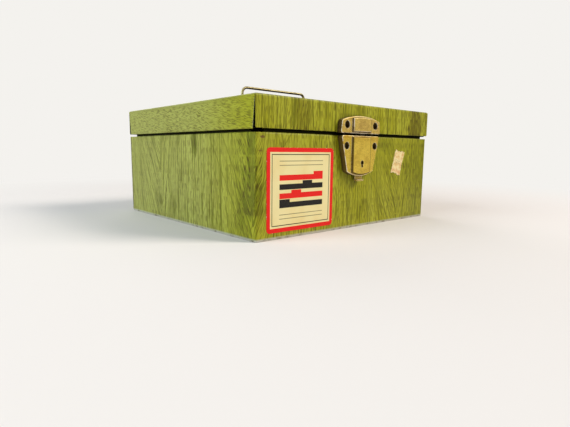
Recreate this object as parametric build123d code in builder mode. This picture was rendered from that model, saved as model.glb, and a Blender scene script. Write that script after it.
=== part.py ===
from build123d import *

import os

os.makedirs("parts", exist_ok=True)

# Sheet-steel file box with a hinged lid, a folding wire bail and a keyed latch.
# The origin is the centre of the face that the box stands on. The front, with the latch, faces -Y.
# All lengths are in millimetres.

# Overall sizes
box_width = 210.0
box_depth = 212.0
body_height = 76.0
lid_height = 23.4
lid_gap = 2.3
lid_overhang = 0.5

# Sheet steel, its folds and the fits between pieces
sheet = 0.7
wall_bend = 2.0
lid_bend = 1.5
seat_gap = 0.05
moving_gap = 0.3
rivet_fit = 0.1

# Lapped corner of the wall strip, at the back left
lap_length = 8.0
lap_bend = 1.0

# Floor pan: the folded rim under the walls and the upstands inside them
rim_round = 0.5
upstand_height = 8.0
upstand_relief = 5.0

# Lips on the body that the lid closes over
lip_rise = 6.0
lip_bend = 0.6
lip_clearance = 0.5
front_lip_end = 8.0
side_lip_front_end = 7.0
side_lip_back_end = 13.0

# Lid edges and open corner seams; the front skirt ends higher than the others
front_skirt_trim = 0.6
hem_height = 4.0
hem_round = 0.5
hem_end = 3.0
seam_width = 2.4
skirt_corner = 1.2

# Hinge along the back
hinge_length = 188.0
knuckle_count = 12
knuckle_gap = 0.3
pin_diameter = 2.0
pin_end = 0.6
hinge_fit = 0.05
leaf = 0.6
leaf_height = 11.0

# Latch: the two stampings
case_rise = 0.3
case_top_width = 47.3
case_foot_width = 33.0
case_flank_height = 28.9
case_height = 32.7
catch_drop = 0.8
catch_width = 49.6
catch_shoulder_width = 47.0
catch_shoulder_height = 10.1
catch_height = 13.9
stamping_wall = 0.8
stamping_round = 0.6
outline_round = 1.6
wing_depth = 5.1
panel_rise = 1.6
panel_width = 24.0
panel_inset = 0.7
panel_slope = 35.0
panel_round = 0.35

# Latch: rivets and the wells that they sit in
rivet_spacing = 35.4
case_rivet_drop = 8.2
catch_rivet_rise = 6.6
rivet_diameter = 2.4
rivet_head_diameter = 3.8
rivet_head_height = 0.9
rivet_tail_diameter = 4.0
rivet_tail_height = 0.7
rivet_chamfer = 0.5
well_floor_diameter = 4.6
well_slope = 12.0

# Latch: works inside the case
base_plate = 0.8
keyhole_drop = 21.9
keyhole_diameter = 3.6
keyhole_slot = 2.0
keyhole_height = 5.5
key_post_diameter = 2.0
key_post_end = 0.8
tumbler_diameter = 6.4
tumbler_thickness = 0.9
tumbler_lug_reach = 6.6
tumbler_lug_width = 3.2
tumbler_slot = 1.5
works_fit = 0.08
works_play = 0.1
pivot_drop = 12.8
pivot_diameter = 3.0
pivot_flange_diameter = 5.0
pivot_head = 0.6
lever_depth = 2.2
lever_sheet = 1.0
lever_tab_width = 9.0
lever_tab_drop = 4.2
lever_tab_round = 0.9
lever_toe = 1.2
lever_toe_reach = 1.6
lever_boss_diameter = 6.4
lever_eye_diameter = 17.0
lever_window_diameter = 10.0
lever_arm_width = 5.0
lever_tab_swing = 3.2
nose_reach = 1.0
nose_height = 1.7
nose_drop = 6.3
hook_sheet = 1.0
hook_width = 7.0
hook_bite = 0.6
hook_ramp = 1.6
hook_lift = 0.7
hook_rise = 10.6
hook_joggle_top = 6.6
hook_joggle_foot = 4.1
hook_bend = 1.2
hook_slot_room = 0.6
spring_strip = 0.4
spring_width = 2.2
spring_foot = 3.0
spring_foot_x = 11.2
spring_foot_drop = 6.5
spring_knee_x = 9.8
spring_knee_drop = 1.5
spring_tip_rise = 4.1
spring_tip_gap = 1.1
spring_bend = 4.0

# Wire bail and its clips on the lid
handle_span = 79.3
handle_rise = 20.2
handle_wire = 2.4
handle_bend = 5.5
handle_foot = 15.0
handle_foot_bend = 3.0
clip_sheet = 0.8
clip_width = 8.0
clip_bend = 0.6
clip_flange = 3.0
clip_clinch = 2.6

# Paper label on the front
label_left_margin = 9.5
label_width = 67.6
label_foot_margin = 5.0
label_top_margin = 10.1
label_round = 3.0
label_paper = 0.2

# Places worked out from the sizes above
body_side = box_width / 2
body_back = box_depth / 2
body_front = -body_back
wall_foot = 2 * sheet + seat_gap
wall_inside = sheet + seat_gap
lid_bottom = body_height + lid_gap
lid_top = lid_bottom + lid_height
front_skirt_foot = lid_bottom + front_skirt_trim
lid_side = body_side + lid_overhang
lid_front = body_front - lid_overhang
lid_centre = (body_back + lid_front) / 2
lid_depth = body_back - lid_front
lip_inset = 2 * sheet + lip_clearance - lid_overhang
hinge_y = body_back - wall_inside
hinge_z = body_height + lid_gap / 2
bore_radius = pin_diameter / 2 + hinge_fit
knuckle_radius = bore_radius + leaf
hinge_notch = knuckle_radius + moving_gap
knuckle_pitch = hinge_length / knuckle_count
front = Plane.XZ.offset(-body_front)
lid_face = Plane.XZ.offset(-lid_front)


def strip(points, radii, thickness):
    """Section of a bent strip: a line of points, rounded at its corners and given a thickness."""
    with BuildSketch() as section:
        with BuildLine():
            FilletPolyline(*points, radius=radii)
        trace(line_width=thickness)
    return section.sketch


# Walls: one strip folded round the box, with its end lapped behind the back wall
half_sheet = sheet / 2
lap_y = body_back - wall_inside - half_sheet
wall_path = [
    (-body_side + lap_length, lap_y),
    (-body_side + half_sheet, lap_y),
    (-body_side + half_sheet, body_front + half_sheet),
    (body_side - half_sheet, body_front + half_sheet),
    (body_side - half_sheet, body_back - half_sheet),
    (-body_side, body_back - half_sheet),
]
wall_radii = [lap_bend] + 3 * [wall_bend - half_sheet]

# A lip leaves the wall's top edge by a double bend: in over a ledge, then up
front_lip = box_width - 2 * front_lip_end
side_lip = box_depth - side_lip_front_end - side_lip_back_end
side_lip_start = body_front + side_lip_front_end
ledge_drop = 2 * lip_bend + sheet


def lip_section(outer, inward):
    """Section of a lip on the wall whose outer face is at outer, with inward as +1 or -1."""
    wall = outer + inward * half_sheet
    lip = wall + inward * lip_inset
    ledge = body_height - half_sheet
    foot = body_height - ledge_drop
    points = [(wall, foot), (wall, ledge), (lip, ledge), (lip, body_height + lip_rise)]
    return strip(points, min(lip_bend, 0.45 * lip_inset), sheet)


case_top = body_height + case_rise
case_tip = case_top - case_height
catch_foot = front_skirt_foot - catch_drop
rivet_points = [(-rivet_spacing / 2, 0), (rivet_spacing / 2, 0)]
case_rivet_z = case_top - case_rivet_drop
catch_rivet_z = catch_foot + catch_rivet_rise
rivet_hole_radius = rivet_diameter / 2 + rivet_fit

with BuildPart() as body_wrap:
    with BuildSketch(Plane.XY.offset(wall_foot)):
        add(strip(wall_path, wall_radii, sheet))
    extrude(amount=body_height - wall_foot)
    # Room for the three lips
    with BuildSketch(Plane.XY.offset(body_height)):
        with Locations((0, body_front)):
            Rectangle(front_lip, 2 * wall_inside)
        with Locations((0, side_lip_start + side_lip / 2)):
            Rectangle(box_width, side_lip)
    extrude(amount=-ledge_drop, mode=Mode.SUBTRACT)
    with BuildSketch(Plane.YZ.offset(-front_lip / 2)):
        add(lip_section(body_front, 1))
    extrude(amount=front_lip)
    with BuildSketch(Plane.XZ.offset(-side_lip_start)):
        add(lip_section(-body_side, 1))
        add(lip_section(body_side, -1))
    extrude(amount=-side_lip)
    # Room for the hinge, and the holes for the lock's rivets
    with BuildSketch(Plane.XY.offset(body_height)):
        with Locations((0, body_back)):
            Rectangle(hinge_length + 2 * pin_end + 2 * moving_gap, 2 * wall_inside)
    extrude(amount=hinge_z - hinge_notch - body_height, mode=Mode.SUBTRACT)
    with BuildSketch(front):
        with Locations((0, case_rivet_z)):
            with Locations(*rivet_points):
                Circle(rivet_hole_radius)
    extrude(amount=-2 * sheet, mode=Mode.SUBTRACT)
body_wrap.part.label = "body_wrap"
export_step(body_wrap.part, "parts/body_wrap.step")

# Floor pan: the rim is the floor folded back on itself, so it is two sheets thick
upstand_outer_x = body_side - wall_inside
upstand_outer_y = body_back - wall_inside
back_upstand_left = -body_side + lap_length + moving_gap
back_upstand_right = body_side - upstand_relief

with BuildPart() as bottom_pan:
    with BuildSketch():
        RectangleRounded(box_width, box_depth, wall_bend)
    extrude(amount=2 * sheet)
    with BuildSketch(Plane.XY.offset(sheet)):
        Rectangle(2 * (upstand_outer_x - sheet), 2 * (upstand_outer_y - sheet))
    extrude(amount=sheet, mode=Mode.SUBTRACT)
    fillet(bottom_pan.faces().sort_by(Axis.Z)[0].edges(), rim_round)
    with BuildSketch(Plane.XY.offset(2 * sheet)):
        with Locations((-upstand_outer_x + sheet / 2, 0), (upstand_outer_x - sheet / 2, 0)):
            Rectangle(sheet, box_depth - 2 * upstand_relief)
        with Locations((0, -upstand_outer_y + sheet / 2)):
            Rectangle(box_width - 2 * upstand_relief, sheet)
        with Locations(((back_upstand_left + back_upstand_right) / 2, upstand_outer_y - sheet / 2)):
            Rectangle(back_upstand_right - back_upstand_left, sheet)
    extrude(amount=upstand_height)
bottom_pan.part.label = "bottom_pan"
export_step(bottom_pan.part, "parts/bottom_pan.step")

# Hinge: two leaves whose rolled knuckles take turns along one pin
knuckle_starts = [-hinge_length / 2 + n * knuckle_pitch for n in range(knuckle_count)]
knuckle_length = knuckle_pitch - knuckle_gap
tongue_foot = bore_radius + leaf / 2


def hinge_leaf(direction, starts):
    """One leaf: direction is -1 for the leaf below the pin and 1 for the leaf above it."""
    with BuildPart() as piece:
        with BuildSketch(Plane.XZ.offset(-hinge_y)):
            with Locations((0, hinge_z + direction * (hinge_notch + leaf_height / 2))):
                Rectangle(hinge_length, leaf_height)
            tongue_z = hinge_z + direction * (tongue_foot + hinge_notch) / 2
            for start in starts:
                with Locations((start + knuckle_pitch / 2, tongue_z)):
                    Rectangle(knuckle_length, hinge_notch - tongue_foot)
        extrude(amount=leaf)
        for start in starts:
            with BuildSketch(Plane.YZ.offset(start + knuckle_gap / 2)):
                with Locations((hinge_y, hinge_z)):
                    Circle(knuckle_radius)
            extrude(amount=knuckle_length)
        with BuildSketch(Plane.YZ.offset(-hinge_length / 2)):
            with Locations((hinge_y, hinge_z)):
                Circle(bore_radius)
        extrude(amount=hinge_length, mode=Mode.SUBTRACT)
    return piece.part


with BuildPart() as hinge_leaf_body:
    add(hinge_leaf(-1, knuckle_starts[0::2]))
hinge_leaf_body.part.label = "hinge_leaf_body"
export_step(hinge_leaf_body.part, "parts/hinge_leaf_body.step")

with BuildPart() as hinge_leaf_lid:
    add(hinge_leaf(1, knuckle_starts[1::2]))
hinge_leaf_lid.part.label = "hinge_leaf_lid"
export_step(hinge_leaf_lid.part, "parts/hinge_leaf_lid.step")

with BuildPart() as hinge_pin:
    with BuildSketch(Plane.YZ.offset(-hinge_length / 2 - pin_end)):
        with Locations((hinge_y, hinge_z)):
            Circle(pin_diameter / 2)
    extrude(amount=hinge_length + 2 * pin_end)
hinge_pin.part.label = "hinge_pin"
export_step(hinge_pin.part, "parts/hinge_pin.step")

# Lid: top and four skirts folded from one blank, with seams that open downwards at the corners
hem_side = lid_side - 1.5 * sheet
hem_front = lid_front + 1.5 * sheet
side_hem = lid_depth - hem_end - side_lip_back_end
side_hem_middle = lid_front + hem_end + side_hem / 2
seam_top = lid_top - lid_bend
handle_pivot_z = lid_top + handle_wire / 2 + moving_gap
clip_x = (handle_span - handle_foot) / 2
clip_arch = handle_wire / 2 + moving_gap + clip_sheet / 2
clip_leg_y = clip_arch + clip_sheet / 2 + clip_flange
clip_slot = clip_sheet + 2 * moving_gap

with BuildPart() as lid_shell:
    with BuildSketch(Plane.XY.offset(lid_bottom)):
        with Locations((0, lid_centre)):
            Rectangle(2 * lid_side, lid_depth)
    extrude(amount=lid_height)
    fillet(lid_shell.faces().sort_by(Axis.Z)[-1].edges(), lid_bend)
    offset(amount=-sheet, openings=lid_shell.faces().sort_by(Axis.Z)[0])
    # Hems folded up inside the front and side skirts
    with BuildSketch(Plane.XY.offset(lid_bottom)):
        with Locations((0, hem_front)):
            Rectangle(2 * (lid_side - hem_end), sheet)
        with Locations((-hem_side, side_hem_middle), (hem_side, side_hem_middle)):
            Rectangle(sheet, side_hem)
    extrude(amount=hem_height)
    fillet(lid_shell.faces().sort_by(Axis.Z)[0].outer_wire().edges(), hem_round)
    # The front skirt and its hem, cut short and rounded again
    with BuildSketch(lid_face):
        with Locations((0, lid_bottom)):
            Rectangle(2 * lid_side, 2 * front_skirt_trim)
    extrude(amount=-2 * sheet, mode=Mode.SUBTRACT)
    fillet(lid_shell.edges().filter_by(Axis.X).group_by(Axis.Y)[0].sort_by(Axis.Z)[0], hem_round)
    # Corner seams, cut through the side skirts beside the front and back skirts
    for side in (-1, 1):
        with BuildSketch(Plane.YZ.offset(side * lid_side)):
            for corner, along in ((lid_front + sheet, 1), (body_back - sheet, -1)):
                seam_end = (corner + along * seam_width, lid_bottom)
                with BuildLine():
                    Polyline((corner, lid_bottom), (corner, seam_top), seam_end, close=True)
                make_face()
        extrude(amount=-side * 2 * sheet, mode=Mode.SUBTRACT)
    # Rounded lower corners of the front skirt
    with BuildSketch(lid_face):
        for side in (-1, 1):
            with Locations((side * (lid_side - skirt_corner / 2), front_skirt_foot + skirt_corner / 2)):
                Rectangle(skirt_corner, skirt_corner)
            with Locations((side * (lid_side - skirt_corner), front_skirt_foot + skirt_corner)):
                Circle(skirt_corner, mode=Mode.SUBTRACT)
    extrude(amount=-sheet, mode=Mode.SUBTRACT)
    # Room for the hinge, slots for the handle clips and holes for the catch's rivets
    with BuildSketch(Plane.XY.offset(lid_bottom)):
        with Locations((0, body_back)):
            Rectangle(hinge_length + 2 * pin_end + 2 * moving_gap, 2 * wall_inside)
    extrude(amount=hinge_z + hinge_notch - lid_bottom, mode=Mode.SUBTRACT)
    with BuildSketch(Plane.XY.offset(lid_top)):
        with GridLocations(2 * clip_x, 2 * clip_leg_y, 2, 2):
            Rectangle(clip_width + 2 * moving_gap, clip_slot)
    extrude(amount=-2 * sheet, mode=Mode.SUBTRACT)
    with BuildSketch(lid_face):
        with Locations((0, catch_rivet_z)):
            with Locations(*rivet_points):
                Circle(rivet_hole_radius)
    extrude(amount=-2 * sheet, mode=Mode.SUBTRACT)
lid_shell.part.label = "lid_shell"
export_step(lid_shell.part, "parts/lid_shell.step")


def case_outline():
    """Lock case seen from the front: straight flanks that draw in to a curved foot."""
    flank_foot = case_top - case_flank_height
    with BuildSketch() as outline:
        with BuildLine():
            Polyline(
                (-case_foot_width / 2, flank_foot),
                (-case_top_width / 2, case_top),
                (case_top_width / 2, case_top),
                (case_foot_width / 2, flank_foot),
            )
            ThreePointArc(
                (case_foot_width / 2, flank_foot),
                (0, case_tip),
                (-case_foot_width / 2, flank_foot),
            )
        make_face()
        fillet(outline.vertices(), outline_round)
    return outline.sketch


def catch_outline():
    """Catch plate seen from the front: upright sides, sloping shoulders and a domed crown."""
    shoulder = catch_foot + catch_shoulder_height
    with BuildSketch() as outline:
        with BuildLine():
            Polyline(
                (catch_shoulder_width / 2, shoulder),
                (catch_width / 2, catch_foot),
                (-catch_width / 2, catch_foot),
                (-catch_shoulder_width / 2, shoulder),
            )
            ThreePointArc(
                (-catch_shoulder_width / 2, shoulder),
                (0, catch_foot + catch_height),
                (catch_shoulder_width / 2, shoulder),
            )
        make_face()
        fillet(outline.vertices(), outline_round)
    return outline.sketch


def stamping(outline, face, depth, well_seat, rivet_z):
    """A deep stamping, open at the back, with a raised middle panel and two wells for rivets.

    depth is how far its wings stand off the face, and well_seat is where the wells' floors lie.
    """
    cavity = depth - stamping_wall
    with BuildPart() as piece:
        with BuildSketch(face):
            add(outline)
        extrude(amount=depth)
        fillet(piece.faces().sort_by(Axis.Y)[0].edges(), stamping_round)
        with BuildSketch(face.offset(depth)):
            add(outline)
            offset(amount=-panel_inset, mode=Mode.REPLACE)
            with Locations((0, rivet_z)):
                Rectangle(panel_width, 2 * case_height, mode=Mode.INTERSECT)
        extrude(amount=panel_rise, taper=panel_slope)
        fillet(piece.faces().sort_by(Axis.Y)[0].edges(), panel_round)
        with BuildSketch(face):
            add(outline)
            offset(amount=-stamping_wall, mode=Mode.REPLACE)
        extrude(amount=cavity, mode=Mode.SUBTRACT)
        with BuildSketch(face.offset(cavity)):
            add(outline)
            offset(amount=-panel_inset - stamping_wall, mode=Mode.REPLACE)
            with Locations((0, rivet_z)):
                Rectangle(panel_width - 2 * stamping_wall, 2 * case_height, mode=Mode.INTERSECT)
        extrude(amount=panel_rise, taper=panel_slope, mode=Mode.SUBTRACT)
        # Wells: cones that widen from a floor on the base to the wing's face
        well_points = [(x, rivet_z) for x, _ in rivet_points]
        with BuildSketch(face.offset(well_seat)):
            with Locations(*well_points):
                Circle(well_floor_diameter / 2 + stamping_wall)
        extrude(amount=depth - stamping_round - well_seat, taper=-well_slope)
        with BuildSketch(face.offset(well_seat + stamping_wall)):
            with Locations(*well_points):
                Circle(well_floor_diameter / 2)
        extrude(amount=depth - well_seat, taper=-well_slope, mode=Mode.SUBTRACT)
        with BuildSketch(face):
            with Locations(*well_points):
                Circle(rivet_hole_radius)
        extrude(amount=depth, mode=Mode.SUBTRACT)
    return piece.part


# Depths inside the latch, measured out from the front wall, and heights of its works
plate_face = seat_gap + base_plate
case_well_seat = plate_face + seat_gap
catch_depth = wing_depth - lid_overhang
lever_face = lever_depth + lever_sheet
panel_ceiling = wing_depth + panel_rise - stamping_wall
keyhole_z = case_top - keyhole_drop
pivot_z = case_top - pivot_drop
nose_z = case_top - nose_drop
tab_bottom = case_tip - lever_tab_drop
tab_room = lever_tab_width / 2 + lever_tab_swing + moving_gap

# The hook hangs behind the catch plate and waits just above the nose of the lever
ramp_slope = nose_height / nose_reach
hook_tip_z = nose_z + ramp_slope * hook_bite + hook_lift
hook_foot_z = hook_tip_z - hook_ramp
hook_left = -hook_bite
hook_upper_y = body_front - panel_ceiling + seat_gap + hook_sheet / 2
hook_lower_y = body_front - lever_depth - hook_sheet / 2
hook_slot_size = (hook_width + 2 * hook_slot_room, hook_sheet + 2 * hook_slot_room)
hook_slot_place = (hook_left + hook_width / 2, hook_lower_y)

with BuildPart() as lock_case:
    add(stamping(case_outline(), front, wing_depth, case_well_seat, case_rivet_z))
    with BuildSketch(front):
        with Locations((0, keyhole_z)):
            Circle(keyhole_diameter / 2)
        with Locations((0, keyhole_z + keyhole_diameter / 2)):
            Rectangle(keyhole_slot, keyhole_height, align=(Align.CENTER, Align.MAX))
    extrude(amount=wing_depth + panel_rise, mode=Mode.SUBTRACT)
    # Slot in the top for the hook, and a notch in the foot that the thumb tab swings in
    with BuildSketch(Plane.XY.offset(case_top)):
        with Locations(hook_slot_place):
            Rectangle(*hook_slot_size)
    extrude(amount=-2 * stamping_wall, mode=Mode.SUBTRACT)
    with BuildSketch(front):
        with Locations((0, case_tip)):
            Rectangle(2 * tab_room, 2 * (case_height - case_flank_height))
    extrude(amount=lever_face + works_play, mode=Mode.SUBTRACT)
lock_case.part.label = "lock_case"
export_step(lock_case.part, "parts/lock_case.step")

with BuildPart() as catch_plate:
    add(stamping(catch_outline(), lid_face, catch_depth, seat_gap, catch_rivet_z))
    with BuildSketch(Plane.XY.offset(catch_foot)):
        with Locations(hook_slot_place):
            Rectangle(*hook_slot_size)
    extrude(amount=2 * stamping_wall, mode=Mode.SUBTRACT)
catch_plate.part.label = "catch_plate"
export_step(catch_plate.part, "parts/catch_plate.step")

with BuildPart() as catch_hook:
    hook_line = [
        (hook_upper_y, catch_foot + hook_rise),
        (hook_upper_y, catch_foot + hook_joggle_top),
        (hook_lower_y, catch_foot + hook_joggle_foot),
        (hook_lower_y, hook_foot_z),
    ]
    with BuildSketch(Plane.YZ.offset(hook_left)):
        add(strip(hook_line, hook_bend, hook_sheet))
    extrude(amount=hook_width)
    # Clear the lever's nose above the tooth, and slope the tooth's underside
    with BuildSketch(front):
        with BuildLine():
            Polyline(
                (hook_left, hook_tip_z),
                (moving_gap, hook_tip_z),
                (moving_gap, catch_foot + hook_rise),
                (hook_left, catch_foot + hook_rise),
                close=True,
            )
        make_face()
        with BuildLine():
            Polyline(
                (hook_left, hook_tip_z),
                (hook_left + hook_ramp / ramp_slope, hook_foot_z),
                (hook_left, hook_foot_z),
                close=True,
            )
        make_face()
    extrude(amount=wing_depth + panel_rise, mode=Mode.SUBTRACT)
catch_hook.part.label = "catch_hook"
export_step(catch_hook.part, "parts/catch_hook.step")


def rivets(face, rivet_z, head_seat):
    """Two set rivets: a bevelled head on head_seat, a shank through the wall and a clenched tail behind."""
    places = [(x, rivet_z) for x, _ in rivet_points]
    tail_seat = -sheet - seat_gap
    with BuildPart() as pair:
        with BuildSketch(face.offset(tail_seat)):
            with Locations(*places):
                Circle(rivet_diameter / 2)
        extrude(amount=head_seat - tail_seat)
        with BuildSketch(face.offset(head_seat)):
            with Locations(*places):
                Circle(rivet_head_diameter / 2)
        extrude(amount=rivet_head_height)
        with BuildSketch(face.offset(tail_seat)):
            with Locations(*places):
                Circle(rivet_tail_diameter / 2)
        extrude(amount=-rivet_tail_height)
        chamfer(pair.edges().filter_by(GeomType.CIRCLE).group_by(Axis.Y)[0], rivet_chamfer)
        chamfer(pair.edges().filter_by(GeomType.CIRCLE).group_by(Axis.Y)[-1], rivet_chamfer)
    return pair.part


with BuildPart() as lock_rivets:
    add(rivets(front, case_rivet_z, case_well_seat + stamping_wall + seat_gap))
lock_rivets.part.label = "lock_rivets"
export_step(lock_rivets.part, "parts/lock_rivets.step")

with BuildPart() as catch_rivets:
    add(rivets(lid_face, catch_rivet_z, stamping_wall + 2 * seat_gap))
catch_rivets.part.label = "catch_rivets"
export_step(catch_rivets.part, "parts/catch_rivets.step")

# Base plate under the case, with the holes that its studs and rivets pass through
with BuildPart() as lock_base_plate:
    with BuildSketch(front.offset(seat_gap)):
        add(case_outline())
        offset(amount=-stamping_wall - moving_gap, mode=Mode.REPLACE)
        with Locations((0, case_rivet_z)):
            with Locations(*rivet_points):
                Circle(rivet_hole_radius, mode=Mode.SUBTRACT)
        with Locations((0, keyhole_z)):
            Circle(key_post_diameter / 2 + seat_gap, mode=Mode.SUBTRACT)
        with Locations((0, pivot_z)):
            Circle(pivot_diameter / 2 + seat_gap, mode=Mode.SUBTRACT)
    extrude(amount=base_plate)
lock_base_plate.part.label = "lock_base_plate"
export_step(lock_base_plate.part, "parts/lock_base_plate.step")

with BuildPart() as key_post:
    with BuildSketch(front.offset(seat_gap)):
        with Locations((0, keyhole_z)):
            Circle(key_post_diameter / 2)
    extrude(amount=lever_face + key_post_end - seat_gap)
key_post.part.label = "key_post"
export_step(key_post.part, "parts/key_post.step")

# Shouldered stud: a flange that the lever rests on, a journal and a head that keeps it there
with BuildPart() as lever_pivot:
    with BuildSketch(front.offset(seat_gap)):
        with Locations((0, pivot_z)):
            Circle(pivot_diameter / 2)
    extrude(amount=lever_face + works_play - seat_gap)
    with BuildSketch(front.offset(case_well_seat)):
        with Locations((0, pivot_z)):
            Circle(pivot_flange_diameter / 2)
    extrude(amount=lever_depth - works_play - case_well_seat)
    with BuildSketch(front.offset(lever_face + works_play)):
        with Locations((0, pivot_z)):
            Circle(pivot_flange_diameter / 2)
    extrude(amount=pivot_head)
lever_pivot.part.label = "lever_pivot"
export_step(lever_pivot.part, "parts/lever_pivot.step")

# Release lever: thumb tab, eye round the keyhole, boss on the pivot, and an arm with a nose at its top
with BuildPart() as release_lever:
    with BuildSketch(front.offset(lever_depth)):
        with Locations((0, tab_bottom)):
            Rectangle(lever_tab_width, keyhole_z - tab_bottom, align=(Align.CENTER, Align.MIN))
        with Locations((0, keyhole_z)):
            Circle(lever_eye_diameter / 2)
            Rectangle(lever_boss_diameter, pivot_z - keyhole_z, align=(Align.CENTER, Align.MIN))
        with Locations((0, pivot_z)):
            Circle(lever_boss_diameter / 2)
        with BuildLine():
            Polyline(
                (-nose_reach, keyhole_z),
                (-nose_reach, nose_z),
                (0, nose_z),
                (-nose_reach, nose_z + nose_height),
                (-nose_reach - lever_arm_width, nose_z + nose_height),
                (-nose_reach - lever_arm_width, pivot_z),
                (-lever_boss_diameter / 2, keyhole_z),
                close=True,
            )
        make_face()
        with Locations((0, keyhole_z)):
            Circle(lever_window_diameter / 2, mode=Mode.SUBTRACT)
        with Locations((0, pivot_z)):
            Circle(pivot_diameter / 2 + works_fit, mode=Mode.SUBTRACT)
    extrude(amount=lever_sheet)
    with BuildSketch(front.offset(lever_depth)):
        with Locations((0, tab_bottom)):
            Rectangle(lever_tab_width, lever_toe, align=(Align.CENTER, Align.MIN))
    extrude(amount=lever_sheet + lever_toe_reach)
    fillet(release_lever.edges().filter_by(Axis.Y).group_by(Axis.Z)[0], lever_tab_round)
release_lever.part.label = "release_lever"
export_step(release_lever.part, "parts/release_lever.step")

# Tumbler: a cam on the key post, slotted for the key's bit, with a lug that turns from right to down
with BuildPart() as key_tumbler:
    with BuildSketch(front.offset(plate_face + works_play)):
        with Locations((0, keyhole_z)):
            Circle(tumbler_diameter / 2)
            Rectangle(tumbler_lug_reach, tumbler_lug_width, align=(Align.MIN, Align.CENTER))
            Circle(key_post_diameter / 2 + works_fit, mode=Mode.SUBTRACT)
            Rectangle(tumbler_slot, tumbler_diameter, align=(Align.CENTER, Align.MAX), mode=Mode.SUBTRACT)
    extrude(amount=tumbler_thickness)
key_tumbler.part.label = "key_tumbler"
export_step(key_tumbler.part, "parts/key_tumbler.step")

# Leaf spring: a foot on the base plate and a bent blade beside the lever's arm
spring_foot_z = pivot_z - spring_foot_drop
spring_line = [
    (-spring_foot_x, spring_foot_z),
    (-spring_knee_x, pivot_z - spring_knee_drop),
    (-nose_reach - lever_arm_width - spring_tip_gap, pivot_z + spring_tip_rise),
]
with BuildPart() as lever_spring:
    with BuildSketch(front.offset(case_well_seat)):
        add(strip(spring_line, spring_bend, spring_strip))
    extrude(amount=spring_width)
    with BuildSketch(front.offset(case_well_seat)):
        with Locations((-spring_foot_x, spring_foot_z)):
            Rectangle(spring_foot, spring_foot, align=(Align.MIN, Align.MIN))
    extrude(amount=spring_strip)
lever_spring.part.label = "lever_spring"
export_step(lever_spring.part, "parts/lever_spring.step")

# Wire bail: two feet that turn in under the clips, two legs and the bar
with BuildPart() as handle_bail:
    with BuildLine(Plane.XZ) as wire:
        FilletPolyline(
            (handle_foot - handle_span / 2, handle_pivot_z),
            (-handle_span / 2, handle_pivot_z),
            (-handle_span / 2, lid_top + handle_rise),
            (handle_span / 2, lid_top + handle_rise),
            (handle_span / 2, handle_pivot_z),
            (handle_span / 2 - handle_foot, handle_pivot_z),
            radius=[handle_foot_bend, handle_bend, handle_bend, handle_foot_bend],
        )
    with BuildSketch(Plane(origin=wire.line @ 0, z_dir=wire.line % 0)):
        Circle(handle_wire / 2)
    sweep()
handle_bail.part.label = "handle_bail"
export_step(handle_bail.part, "parts/handle_bail.step")

# Clips: straps arched over the bail's feet, with legs through the lid that are clinched outwards below
clip_flange_z = lid_top + seat_gap + clip_sheet / 2
clip_clinch_z = lid_top - sheet - seat_gap - clip_sheet / 2
clip_half = [
    (clip_arch, handle_pivot_z + clip_arch),
    (clip_arch, clip_flange_z),
    (clip_leg_y, clip_flange_z),
    (clip_leg_y, clip_clinch_z),
    (clip_leg_y + clip_clinch, clip_clinch_z),
]
clip_line = [(-y, z) for y, z in reversed(clip_half)] + clip_half
half_bends = [clip_bend, clip_bend, clip_bend]
clip_radii = half_bends + [clip_arch - seat_gap, clip_arch - seat_gap] + half_bends


def handle_clip(centre_x):
    """One clip, centred at centre_x along the bail's foot."""
    with BuildPart() as piece:
        with BuildSketch(Plane.YZ.offset(centre_x - clip_width / 2)):
            add(strip(clip_line, clip_radii, clip_sheet))
        extrude(amount=clip_width)
    return piece.part


with BuildPart() as handle_clip_left:
    add(handle_clip(-clip_x))
handle_clip_left.part.label = "handle_clip_left"
export_step(handle_clip_left.part, "parts/handle_clip_left.step")

with BuildPart() as handle_clip_right:
    add(handle_clip(clip_x))
handle_clip_right.part.label = "handle_clip_right"
export_step(handle_clip_right.part, "parts/handle_clip_right.step")

# Paper label on the front wall
label_height = body_height - label_foot_margin - label_top_margin
label_centre = (-body_side + label_left_margin + label_width / 2, label_foot_margin + label_height / 2)

with BuildPart() as front_label:
    with BuildSketch(front):
        with Locations(label_centre):
            RectangleRounded(label_width, label_height, label_round)
    extrude(amount=label_paper)
front_label.part.label = "front_label"
export_step(front_label.part, "parts/front_label.step")
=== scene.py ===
import logging
import math
from abc import ABC, abstractmethod
from collections.abc import Callable, Mapping
from dataclasses import dataclass
from enum import Enum
from functools import reduce

import bpy
import numpy as np
from mathutils import Matrix, Vector


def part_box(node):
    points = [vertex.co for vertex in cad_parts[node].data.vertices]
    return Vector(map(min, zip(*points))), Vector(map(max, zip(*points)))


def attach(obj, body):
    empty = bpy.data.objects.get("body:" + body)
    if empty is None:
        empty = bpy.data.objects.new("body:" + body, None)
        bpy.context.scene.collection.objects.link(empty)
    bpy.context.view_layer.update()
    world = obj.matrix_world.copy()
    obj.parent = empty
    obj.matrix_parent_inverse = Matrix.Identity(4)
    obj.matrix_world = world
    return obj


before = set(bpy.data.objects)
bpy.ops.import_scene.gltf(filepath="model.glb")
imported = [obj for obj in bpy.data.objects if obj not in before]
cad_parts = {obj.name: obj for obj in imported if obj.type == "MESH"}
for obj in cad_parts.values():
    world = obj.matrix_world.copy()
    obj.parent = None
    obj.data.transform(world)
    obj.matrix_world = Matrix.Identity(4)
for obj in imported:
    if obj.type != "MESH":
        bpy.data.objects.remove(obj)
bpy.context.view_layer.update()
MM = 0.001

# Cosines from which a face counts as facing an axis, and as turned towards it
FACING = 0.7
SIDEWAYS = 0.5

# A height above the whole box, in millimetres, for what a piece doesn't have
ABOVE_ALL = 1000.0

# Share of a grain line's half width over which it shows in full
LINE_CORE = 0.25

log = logging.getLogger("file_box")

Colour = tuple[float, float, float]
Point = tuple[float, float, float]
Flat = tuple[float, float]


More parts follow.
